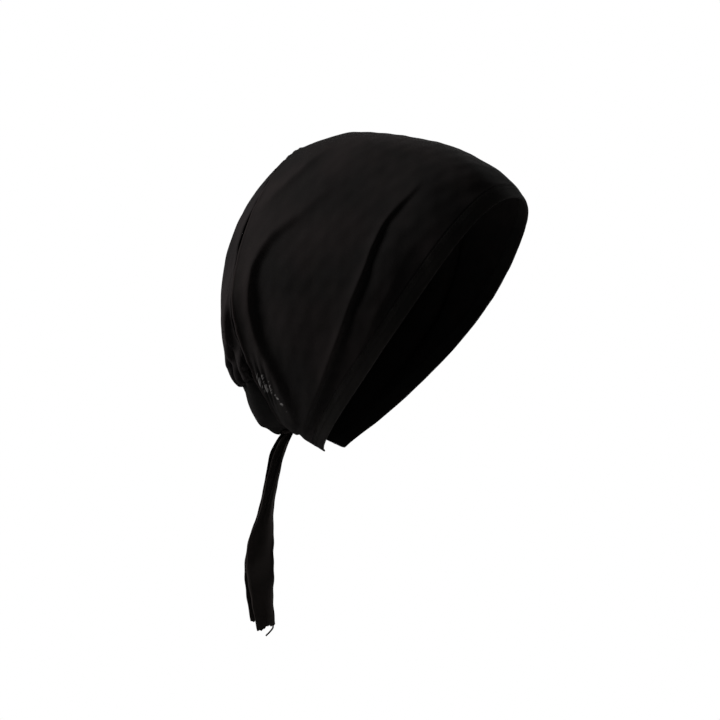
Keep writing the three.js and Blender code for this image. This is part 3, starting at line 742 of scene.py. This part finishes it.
# %% The crown panel
CROWN_COLUMNS = 214
CROWN_ROWS = 222
CROWN_SPACING = 0.25
CLOTH = 0.95
HEM_STEP = 0.55
HEM_STEP_LONG = 5
SEAM_INSET = 0.4
SEAM_DIP = 0.65
SEAM_SOFT = 1.3
SEAM_CORD = 3.0
SEAM_CORD_WIDE = 1.3
SEAM_CORD_HIGH = 0.7

columns = even_shares(crown_point, CROWN_SPACING, CROWN_COLUMNS, 1)
hem_line = inset_place(crown_point, columns, 0.0, BAND_WIDTH, PLACE_STEP)
seam_line = inset_place(crown_point, columns, SEAM_PLACE, SEAM_INSET, -PLACE_STEP)
crown_side = np.broadcast_to(columns, (CROWN_ROWS, CROWN_COLUMNS))
crown_place = hem_line + (seam_line - hem_line) * np.linspace(0, 1, CROWN_ROWS)[:, None]
points, normals, height, ridge, hollow = crown_relief(crown_side, crown_place)
from_hem = run_lengths(points)
from_seam = from_hem[-1] - from_hem
seam_cord = bell(from_seam - SEAM_CORD, SEAM_CORD_WIDE)
lift = CROWN_WALL + HEM_STEP * np.exp(-from_hem / HEM_STEP_LONG) - SEAM_DIP * bell(from_seam, SEAM_SOFT)
surface = points + normals * (height + (lift + SEAM_CORD_HIGH * seam_cord))[..., None]
surface[..., 2] += rim_notch(crown_side, crown_place)
# The roll over the lower back seam is painted darker, as painted shade, and so are the fold hollows. The cord beside
# the seam is painted lighter as a painted highlight, and the fold ridges are too, partly as wear.
painted_roll_shade = seam_roll(crown_side, from_seam) / ROLL_HIGH * (1 - seam_cord)
crown_cloth = wall_piece("crown_cloth", surface, surface - normals * CLOTH, crown_jersey, {
    "wear_and_painted_light": ridge * 0.8 + seam_cord,
    "deep": np.maximum(hollow, painted_roll_shade),
    "thin": gathered_patch(crown_side, crown_place)[1],
})
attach(crown_cloth, "root")
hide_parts("crown_panel")

# %% [markdown]
# ## Hem round the face
# The face edge is turned in and stitched down, so it is a flat doubled band with a round folded edge. A section
# that goes once round the band is carried along the whole edge: a square with very round corners.

# %% The hem
HEM_SIDES = 30
HEM_SQUARE = 3.4
HEM_THICK = 1.95
HEM_WORN = 0.7
HEM_NOSE = 1.6
STITCH_ROWS = (7.0, 9.7)
STITCH_DIP = 0.18
STITCH_DIP_WIDE = 0.55


def hem_surface(side, across, depth):
    """Points of the hem: across is the cloth's length from the face edge, depth the height above its inside."""
    start = inset_place(crown_point, side[:, 0], 0.0, 1.0, PLACE_STEP)[:, None]
    points, normals, height, _, _ = crown_relief(side, across * start)
    return points + normals * (height + depth)[..., None]


def squared(wave):
    """A sine or cosine drawn out, so that a circle made of the two becomes a square with round corners."""
    return np.sign(wave) * np.abs(wave) ** (2 / HEM_SQUARE)


turn = round_way(HEM_SIDES)
across = BAND_WIDTH / 2 * (1 - squared(np.cos(turn)))
depth = HEM_THICK / 2 * (1 + squared(np.sin(turn)))
dip = sum(bell(across - row, STITCH_DIP_WIDE) for row in STITCH_ROWS)
depth = depth - STITCH_DIP * dip * (depth > HEM_THICK / 2)
hem_side = np.broadcast_to(columns[:, None], (CROWN_COLUMNS, HEM_SIDES))
rings = hem_surface(hem_side, across, depth)
hem_points, hem_faces = ring_tube(rings)
hem_lengths = np.stack(np.broadcast_arrays(run_lengths(rings[:, 0])[:, None], across + depth), -1).reshape(-1, 2)
hem_lengths = np.concatenate([hem_lengths, hem_lengths[[0, -1]]])
hem_masks = {"wear_and_painted_light": np.append(np.broadcast_to(HEM_WORN * bell(across, HEM_NOSE), hem_side.shape), [0, 0])}
face_hem = make_piece("face_hem", hem_points, hem_faces, hem_jersey_painted_lighter, hem_lengths, hem_masks)
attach(face_hem, "root")
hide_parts("face_band")

# %% [markdown]
# ## Stitches of the hem
# Two rows of black thread hold the turned hem. Each stitch is a short rounded bead of thread that sinks into the
# cloth at both ends, laid along the hem's own surface at an even step.

# %% The stitches
STITCH_STEP = 3.0
STITCH_LONG = 2.5
STITCH_THICK = 0.20
STITCH_SUNK = 0.14
STITCH_RINGS = 5
STITCH_SIDES = 6


def stitch_row(across):
    """Stitches along one line of the hem: spindles whose radius is a circle's height along them. Gives points
    as stitches by rings by sides."""
    line = hem_surface(columns[:, None], across, HEM_THICK)[:, 0]
    out = outward(crown_point, columns, inset_place(crown_point, columns, 0.0, across, PLACE_STEP), 0)
    run = run_lengths(line)
    centre = np.arange(STITCH_STEP, run[-1] - STITCH_STEP, STITCH_STEP)
    way = np.linspace(-1, 1, STITCH_RINGS)
    at = centre[:, None] + way * STITCH_LONG / 2
    spine, normal = (np.stack([np.interp(at, run, a[:, i]) for i in range(3)], -1) for a in (line, out))
    forward = np.gradient(spine, axis=1)
    forward /= np.linalg.norm(forward, axis=-1, keepdims=True)
    aside, normal = np.cross(normal, forward)[:, :, None], normal[:, :, None]
    turn = round_way(STITCH_SIDES)[:, None]
    radius = STITCH_THICK * np.sqrt(1.05 - way**2)[:, None, None]
    return spine[:, :, None] - normal * STITCH_SUNK + radius * (np.cos(turn) * aside + np.sin(turn) * normal)


beads = np.concatenate([stitch_row(row) for row in STITCH_ROWS])
bead_points, bead_faces = ring_tube(beads[0])
step = len(bead_points) * np.arange(len(beads))[:, None, None]
bead_ends = beads[:, [0, -1]].mean(2)
stitch_points = np.concatenate([beads.reshape(len(beads), -1, 3), bead_ends], 1).reshape(-1, 3)
stitch_faces = [(group + step).reshape(-1, group.shape[1]) for group in bead_faces]
hem_stitching = make_piece("hem_stitching", stitch_points, stitch_faces, hem_jersey_painted_lighter, stitch_points[:, :2])
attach(hem_stitching, "root")

# %% [markdown]
# ## Full back
# The back is a bag of cloth, wider than the head behind it. Its lower edge is gathered into the nape band, which
# makes pleats that fan upwards and a soft roll above them. The pleats' tops are painted a little lighter, partly
# as wear and partly as a painted highlight.

# %% The bag
BAG_COLUMNS = 300
BAG_ROWS = 150
BAG_SPACING = 1.3
BAG_TIP = 0.965
BAG_FIRST_MOST = 1.05
BAG_FULL = 2.0
BAG_THIN = 0.3
FOOT_HOLD = 3.0
CORNER_HOLD = 0.12
BLOUSE_HIGH = 1.6
BLOUSE_UP = 13
BLOUSE_LONG = 8

bag_columns = even_shares(bag_point, BAG_SPACING, BAG_COLUMNS, BAG_TIP)
first_place = inset_place(bag_point, bag_columns, SEAM_PLACE, SEAM_INSET, PLACE_STEP)
first_place = np.minimum(first_place, BAG_FIRST_MOST)
bag_side = np.broadcast_to(bag_columns, (BAG_ROWS, BAG_COLUMNS))
bag_place = first_place + (BAG_END_PLACE - first_place) * np.linspace(0, 1, BAG_ROWS)[:, None]
points = bag_point(bag_side, bag_place)
normals = outward(bag_point, bag_side, bag_place, 1)
height, ridge, hollow = folds_at(points, normals, bag_side)
lengths = cloth_lengths(points)
from_seam = lengths[..., 1]
to_foot = from_seam[-1] - from_seam
pleats, pleat_tops = gathers(lengths[-1, :, 0], to_foot, points, 5)
blouse = BLOUSE_HIGH * bell(to_foot - BLOUSE_UP, BLOUSE_LONG) * (0.7 + 0.5 * unevenness(points, 30, 9))
corner_hold = np.clip((BAG_TIP - np.abs(bag_side)) / CORNER_HOLD, 0, 1)
height = height + corner_hold * (pleats + blouse) + seam_puckers(bag_side * HOOP_HALF * NAPE_START, from_seam, 1)
height = height + 0.9 * unevenness(points, 52, 6) + 0.22 * unevenness(points, 15, 7)
height = height + BAG_FULL * np.sin(np.pi * (bag_place - SEAM_PLACE)) ** 2
height = height + seam_roll(bag_side * NAPE_START, from_seam * BAG_ROLL)
height = height * np.clip(to_foot / FOOT_HOLD, 0, 1) ** 0.6
lift = BAG_WALL - SEAM_DIP * bell(from_seam, SEAM_SOFT)
surface = points + normals * (height + lift)[..., None]
near_side = np.clip((-bag_side - 0.25) / 0.25, 0, 1)
# Fold ridges and pleat tops are painted lighter, partly as wear and partly as a painted highlight. Fold hollows are
# painted darker, as painted shade.
bag_cloth = wall_piece("bag_cloth", surface, surface - normals * CLOTH, bag_jersey, {
    "wear_and_painted_light": np.clip(ridge * 0.8 + 0.5 * pleat_tops, 0, 1),
    "deep": hollow,
    "thin": BAG_THIN * bell(to_foot - 6, 4) * near_side * pleat_tops,
})
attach(bag_cloth, "root")
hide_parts("back_bag")

# %% [markdown]
# ## Seam allowance
# Behind the seam between crown and bag lies the overlocked edge of both pieces, pressed to one side. It is a
# strip of cloth on the inside, a few millimetres wide, and it keeps the light out of the seam.

# %% The seam allowance
ALLOWANCE_COLUMNS = 260
ALLOWANCE = (-4.5, 3.5)
ALLOWANCE_ROWS = 9
ALLOWANCE_THICK = 0.8
ALLOWANCE_UNDER = 0.10


def beside_seam(side, width):
    """A line of points that lies a width of cloth from the back seam: on the crown below 0, on the bag above."""
    if width < 0:
        return crown_point(side, inset_place(crown_point, side, SEAM_PLACE, -width, -PLACE_STEP))
    side = side / NAPE_START
    return bag_point(side, inset_place(bag_point, side, SEAM_PLACE, width, PLACE_STEP))


seam_side = even_shares(crown_point, SEAM_PLACE, ALLOWANCE_COLUMNS, NAPE_START * BAG_TIP)
_, seam_normals, seam_height, _, _ = crown_relief(seam_side, SEAM_PLACE)
strip = np.stack([beside_seam(seam_side, width) for width in np.linspace(*ALLOWANCE, ALLOWANCE_ROWS)])
strip = strip + seam_normals * (np.minimum(seam_height, 0) + ALLOWANCE_UNDER)[:, None]
seam_allowance = wall_piece("seam_allowance", strip, strip - seam_normals * ALLOWANCE_THICK, hem_jersey_painted_lighter)
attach(seam_allowance, "root")

# %% [markdown]
# ## Nape band
# Under the gathers a smooth cup of cloth closes the cap at the nape. It is drawn tight by the ties, so it only
# ripples a little below the gathered seam. Its first rows tuck in under the bag's foot.

# %% The nape band
NAPE_COLUMNS = 190
NAPE_ROWS = 54
NAPE_SPACING = 0.3
NAPE_FIRST = 0.012
NAPE_INSET = 0.2
NAPE_THIN = 0.25
RIPPLE_BEAT = 1.9
RIPPLE_LONG = 6
TUCK_ROWS = 4
TUCK_STEP = 0.8
TUCK_DEEP = 0.35
CUP_RISE = 2.8
CUP_PLACE = 0.79
CUP_WIDE = 0.14


def with_tuck(grid):
    """A grid with its first row repeated above it, once for each tucked row."""
    return np.concatenate([np.repeat(grid[:1], TUCK_ROWS, 0), grid])


nape_columns = even_shares(nape_point, NAPE_SPACING, NAPE_COLUMNS, 1)
nape_place = np.linspace(NAPE_FIRST, 1, NAPE_ROWS)[:, None]
reach = np.linalg.norm(nape_point(1, nape_place) - nape_point(0, nape_place), axis=-1)
nape_side = nape_columns * (1 - NAPE_INSET / reach)
points = nape_point(nape_side, nape_place)
normals = outward(nape_point, nape_side, nape_place, 0)
along, down = np.moveaxis(cloth_lengths(points), -1, 0)
ripple = np.sin(along / RIPPLE_BEAT + 0.8 * unevenness(points, 18, 12)) * np.exp(-down / RIPPLE_LONG)
height = 0.5 * ripple + 0.35 * unevenness(points, 22, 11)
surface = points + normals * (height + NAPE_WALL)[..., None]
surface[..., 2] += CUP_RISE * bell(nape_place - CUP_PLACE, CUP_WIDE) * np.cos(nape_side * np.pi / 2)
away = surface[0] - surface[2]
away /= np.linalg.norm(away, axis=-1, keepdims=True)
steps = np.arange(TUCK_ROWS, 0, -1)[:, None, None]
hidden = surface[0] + away * TUCK_STEP * steps - normals[0] * TUCK_DEEP * steps
surface, normals = np.concatenate([hidden, surface]), with_tuck(normals)
thin = NAPE_THIN * bell(down - 2, 1.5) * np.clip((-nape_side - 0.3) / 0.3, 0, 1)
nape_masks = {"wear_and_painted_light": 0.4 * np.clip(with_tuck(ripple), 0, 1), "thin": with_tuck(thin)}
nape_cloth = wall_piece("nape_cloth", surface, surface - normals * CLOTH, nape_jersey, nape_masks)
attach(nape_cloth, "root")
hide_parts("nape_band")

# %% [markdown]
# ## Ties
# The ties are strips cut from the same jersey. Knotted and pulled, each is rolled narrow at the knot and opens
# out lower down, where its raw edges curl. A table says for a few sections how far down and across they lie, how
# wide and turned the strip is there, how much its edges lift, and how far its cut end slants.

# %% Tables of the two strips
TIE_LENGTH = 138.0
TIE_WIDTH = 20.0
TIE_GAP = 1.5
TIE_WALL = 1.2
TIE_CLOTH = 0.8
TIE_FACING = 27.0
TAIL_LEAN = -0.035
INTO_KNOT = 5.0
KNOT_GAP = 0.35
EDGE_ROLL = 0.9
RAGGED_SHARE = 0.08
TAIL_ROWS = 230
TAIL_SIDES = 30
TAIL_WORDS = "place across wide turn curl slant"
RIGHT_TAIL = as_columns(TAIL_WORDS, [
    [0.00, 0.04, 0.30, -30, 0.06, 0.0],
    [0.08, -0.24, 0.36, -16, 0.10, 0.0],
    [0.20, -0.48, 0.40, -10, 0.09, 0.0],
    [0.33, -0.66, 0.44, -10, 0.08, 0.0],
    [0.45, -0.80, 0.60, -10, 0.07, 0.0],
    [0.56, -0.95, 0.90, -10, 0.05, 0.0],
    [0.68, -1.00, 0.98, -10, 0.04, 0.0],
    [0.80, -0.97, 0.90, -11, 0.05, 0.0],
    [0.90, -0.89, 0.76, -12, 0.07, 0.1],
    [1.00, -0.78, 0.64, -13, 0.03, 0.3],
])
LEFT_TAIL = as_columns(TAIL_WORDS, [
    [0.00, -0.14, 0.28, 20, 0.06, 0.0],
    [0.08, -0.44, 0.30, 6, 0.09, 0.0],
    [0.20, -0.58, 0.36, -4, 0.08, 0.0],
    [0.33, -0.73, 0.42, -8, 0.07, 0.0],
    [0.45, -0.88, 0.54, -9, 0.06, 0.0],
    [0.56, -1.03, 0.82, -10, 0.05, 0.0],
    [0.68, -1.10, 0.90, -10, 0.04, 0.0],
    [0.80, -1.11, 0.86, -10, 0.04, 0.0],
    [0.90, -1.05, 0.78, -10, 0.06, 0.0],
    [0.965, -0.98, 0.74, -10, 0.03, 0.1],
])
print("sections of the ties:", len(RIGHT_TAIL["place"]), len(LEFT_TAIL["place"]))

# %% The strips' middle surface
knot_low, knot_high = (np.array(corner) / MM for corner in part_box("tie_knot"))
knot_middle = (knot_low + knot_high) / 2
strip_start = np.array([0, knot_middle[1], knot_low[2] - KNOT_GAP])
facing = math.radians(TIE_FACING)
across_way = np.array([math.sin(facing), -math.cos(facing), 0])
through_way = np.array([math.cos(facing), math.sin(facing), 0])
up_way = np.array([0, 0, 1.0])


def strip_surface(table, away, seed):
    """Middle surface of a strip and its normals. At each height a section runs across: its edges lift by a
    square and roll at the very edge by a high power, its width wavers, and its cut end is ragged."""
    last = table["place"][-1]
    down = np.linspace(-INTO_KNOT / TIE_LENGTH, last, TAIL_ROWS)[:, None]
    part = np.linspace(-1, 1, TAIL_SIDES)[None, :]
    get = {name: smooth(table, name, down) for name in TAIL_WORDS.split()[1:]}
    fall = down * TIE_LENGTH
    angle = np.radians(get["turn"] + 5 * np.sin(fall / 17 + seed))[..., None]
    width_way = np.cos(angle) * across_way + np.sin(angle) * through_way
    out_way = np.sin(angle) * across_way - np.cos(angle) * through_way
    waver = 1 + 0.025 * np.sin(fall / 5.3 + seed) + 0.02 * np.sin(fall / 2.1 + 2 * seed) * part
    half = get["wide"] * TIE_WIDTH / 2 * waver
    opened = np.clip((get["wide"] - 0.4) / 0.4, 0, 1)
    lift = (part**2 - 1 / 3) * get["curl"] * TIE_WIDTH
    lift = lift + opened * EDGE_ROLL * part**12 * np.sin(fall / 11 + seed * 2 + part)
    narrow_crease = (1 - opened) * 0.30 * np.cos(part * 7 + fall / 9)
    crease = narrow_crease + opened * 0.35 * np.sin(part * 2.2 + fall / 8 + seed)
    middle = strip_start + get["across"][..., None] * TIE_WIDTH * across_way
    middle = middle + (away + TAIL_LEAN * fall)[..., None] * through_way - fall[..., None] * up_way
    points = middle + (part * half)[..., None] * width_way + (lift + crease)[..., None] * out_way
    near_end = np.clip((down - last + RAGGED_SHARE) / RAGGED_SHARE, 0, 1) ** 2
    ragged = 0.7 * np.sin(part * 5 + seed) + 0.35 * np.sin(part * 17 + 2 * seed) - 2.2
    points[..., 2] += part * get["slant"] * TIE_WIDTH / 2 + near_end * ragged
    normals = np.cross(np.gradient(points, axis=1), np.gradient(points, axis=0))
    return points, normals / np.linalg.norm(normals, axis=-1, keepdims=True)


print("the strips start at, mm:", strip_start.round(1))

# %% The strips and the loose thread
THREAD_PLACE = 0.88
THREAD_PATH = [(0, 1.5), (0.3, -1.6), (-0.8, -3.6), (-2.5, -5.6), (-4.9, -8.0)]
THREAD_THICK = 0.62
THREAD_STEPS = 26
THREAD_SIDES = 7


def frayed_thread(points):
    """One thread that has worked loose from the cut end: a ring carried along a curve, given as millimetres
    across and up from a point on the end."""
    start = points[-1, int(THREAD_PLACE * (TAIL_SIDES - 1))]
    path = curve_through(THREAD_PATH, THREAD_STEPS)
    line = start + path[:, :1] * across_way + path[:, 1:] * up_way
    run = np.gradient(line, axis=0)
    run /= np.linalg.norm(run, axis=1, keepdims=True)
    side = np.cross(run, through_way)
    around = round_way(THREAD_SIDES)[:, None]
    ring = np.cos(around) * side[:, None] + np.sin(around) * through_way
    return ring_tube(line[:, None] + THREAD_THICK * ring)


def make_strip(name, node, table, away, seed, thread=False):
    """A strip with two faces: its middle surface moved half its cloth's thickness each way."""
    points, normals = strip_surface(table, away, seed)
    front, back = points + normals * TIE_CLOTH / 2, points - normals * TIE_CLOTH / 2
    edge = np.broadcast_to(np.abs(np.linspace(-1, 1, TAIL_SIDES)) ** 8, points.shape[:2])
    masks = {"wear_and_painted_light": 0.35 + 0.5 * edge, "thin": 0.12 * edge}
    loose = frayed_thread(points) if thread else None
    piece = wall_piece(name, front, back, tie_jersey_painted_lighter, masks, points, loose)
    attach(piece, "root")
    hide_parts(node)
    return piece


half_apart = (TIE_WALL + TIE_GAP) / 2
right_strip = make_strip("tie_strip_right", "tie_tail_right", RIGHT_TAIL, -half_apart, 1.0, True)
left_strip = make_strip("tie_strip_left", "tie_tail_left", LEFT_TAIL, half_apart, 2.3)

# %% [markdown]
# ## Knot
# The two ties cross under the nape and are pulled tight. What shows is a small pillow of packed cloth with a
# strip wound once round it, so it is made as those two pieces.

# %% The knot
PILLOW_RINGS = 34
PILLOW_SIDES = 44
WRAP_STEPS = 72
WRAP_SIDES = 16
WRAP_OUT = 0.86
WRAP_THICK = 0.13
WRAP_WIDE = 0.42
WRAP_TILT = 0.30
PACKED = 1.4


def knot_pillow():
    """A ball pressed to the knot's box, with creases that run round it in a slow spiral."""
    tall = np.linspace(0, np.pi, PILLOW_RINGS + 2)[1:-1][:, None]
    turn = round_way(PILLOW_SIDES)
    spiral = np.sin(3 * turn + 2.2 * np.cos(tall)) + 0.5 * np.sin(7 * turn - 3 * np.cos(tall))
    radius = 0.90 + 0.07 * spiral * np.sin(tall)
    ball = np.stack([np.sin(tall) * np.cos(turn), np.sin(tall) * np.sin(turn), -np.cos(tall) + 0 * turn], -1)
    return knot_middle + ball * radius[..., None] * (knot_high - knot_low) / 2


def wound_strip():
    """A flat rounded section carried round the knot on a tilted ellipse."""
    turn, section = round_way(WRAP_STEPS)[:, None], round_way(WRAP_SIDES)
    half = (knot_high - knot_low) / 2
    out = WRAP_OUT + WRAP_THICK * np.cos(section) * (1 + 0.15 * np.sin(5 * turn + section))
    high = WRAP_WIDE * np.sin(section) + WRAP_TILT * np.cos(turn) + 0.06 * np.sin(3 * turn)
    return knot_middle + np.stack([out * np.cos(turn) * half[0], out * np.sin(turn) * half[1], high * half[2]], -1)


pillow_points, pillow_faces = ring_tube(knot_pillow())
pillow_lengths = (pillow_points - knot_middle)[:, :2] * PACKED
# The knot lies in shade under the cup. Its mask is 1 all over, which paints it lighter as painted light.
pillow_masks = {"wear_and_painted_light": np.ones(len(pillow_points))}
knot_core = make_piece("knot_core", pillow_points, pillow_faces, tie_jersey_painted_lighter, pillow_lengths, pillow_masks)
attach(knot_core, "root")
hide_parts("tie_knot")
wrap_points = wound_strip().reshape(-1, 3)
wrap_index = np.arange(len(wrap_points)).reshape(WRAP_STEPS, WRAP_SIDES)
wrap_faces = [grid_faces(np.pad(wrap_index, ((0, 1), (0, 1)), mode="wrap"))]
wrap_lengths = (wrap_points - knot_middle)[:, 1:] * PACKED
# The wound strip is painted lighter in the same way, as painted light.
wrap_masks = {"wear_and_painted_light": np.ones(len(wrap_points))}
knot_wrap = make_piece("knot_wrap", wrap_points, wrap_faces, tie_jersey_painted_lighter, wrap_lengths, wrap_masks)
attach(knot_wrap, "root")
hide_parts("tie_knot")

# %% [markdown]
# ## Light and floor
# Black cloth needs a strong soft light from one side and little from elsewhere, or its folds vanish. The main
# light comes from the upper left and a little behind, a weak one from the front right fills in, and a third from
# the far side brightens the edges. Floor and air are plain and nearly white.

# %% Lamps, floor and air
AIR_LIGHT = 0.037
FLOOR_LEVEL = -1100.0
FLOOR_REACH = 650.0


def make_sun(name, way, power, spread):
    """A sun lamp that shines from a direction, given as shares of right, up and towards the camera."""
    data = bpy.data.lights.new(name, "SUN")
    data.energy = power
    data.angle = math.radians(spread)
    lamp = bpy.data.objects.new(name, data)
    source = way[0] * view_right + way[1] * view_up - way[2] * view_forward
    lamp.rotation_mode = "QUATERNION"
    lamp.rotation_quaternion = Vector(source).to_track_quat("Z", "Y")
    bpy.context.scene.collection.objects.link(lamp)


make_sun("main_light", (-0.84, 0.56, -0.08), 4.7, 22)
make_sun("fill_light", (0.50, 0.62, 0.60), 0.27, 40)
make_sun("far_light", (0.45, 0.35, -0.95), 1.5, 50)
world = bpy.data.worlds.new("air")
world.use_nodes = True
nodes, links = world.node_tree.nodes, world.node_tree.links
background = nodes["Background"]
background.inputs["Color"].default_value = (1, 1, 1, 1)
seen = nodes.new("ShaderNodeLightPath")
strength = nodes.new("ShaderNodeMapRange")
strength.inputs["To Min"].default_value = AIR_LIGHT
links.new(seen.outputs["Is Camera Ray"], strength.inputs["Value"])
links.new(strength.outputs["Result"], background.inputs["Strength"])
bpy.context.scene.world = world
bpy.context.scene.view_settings.view_transform = "Standard"
floor_points = np.array([[-1, -1, 0], [1, -1, 0], [-1, 1, 0], [1, 1, 0]], float) * FLOOR_REACH
floor_points[:, 2] = FLOOR_LEVEL
floor_faces = [grid_faces(np.arange(4).reshape(2, 2))]
plain = Finish("pale floor")
plain.set(Base_Color=(0.8, 0.8, 0.8, 1), Roughness=0.9, Emission_Color=(1, 1, 1, 1), Emission_Strength=0.35)
floor = make_piece("floor", floor_points, floor_faces, plain.material, floor_points[:, :2])

# %% [markdown]
# ## Sheets and sizes
# Each piece of cloth prints the area of one of its layers, in square centimetres.

for piece in (crown_cloth, face_hem, bag_cloth, nape_cloth, right_strip, left_strip):
    one_layer = sum(face.area for face in piece.data.polygons) / 2
    print(piece.name, "one layer, square cm:", round(one_layer * 1e4, 1))
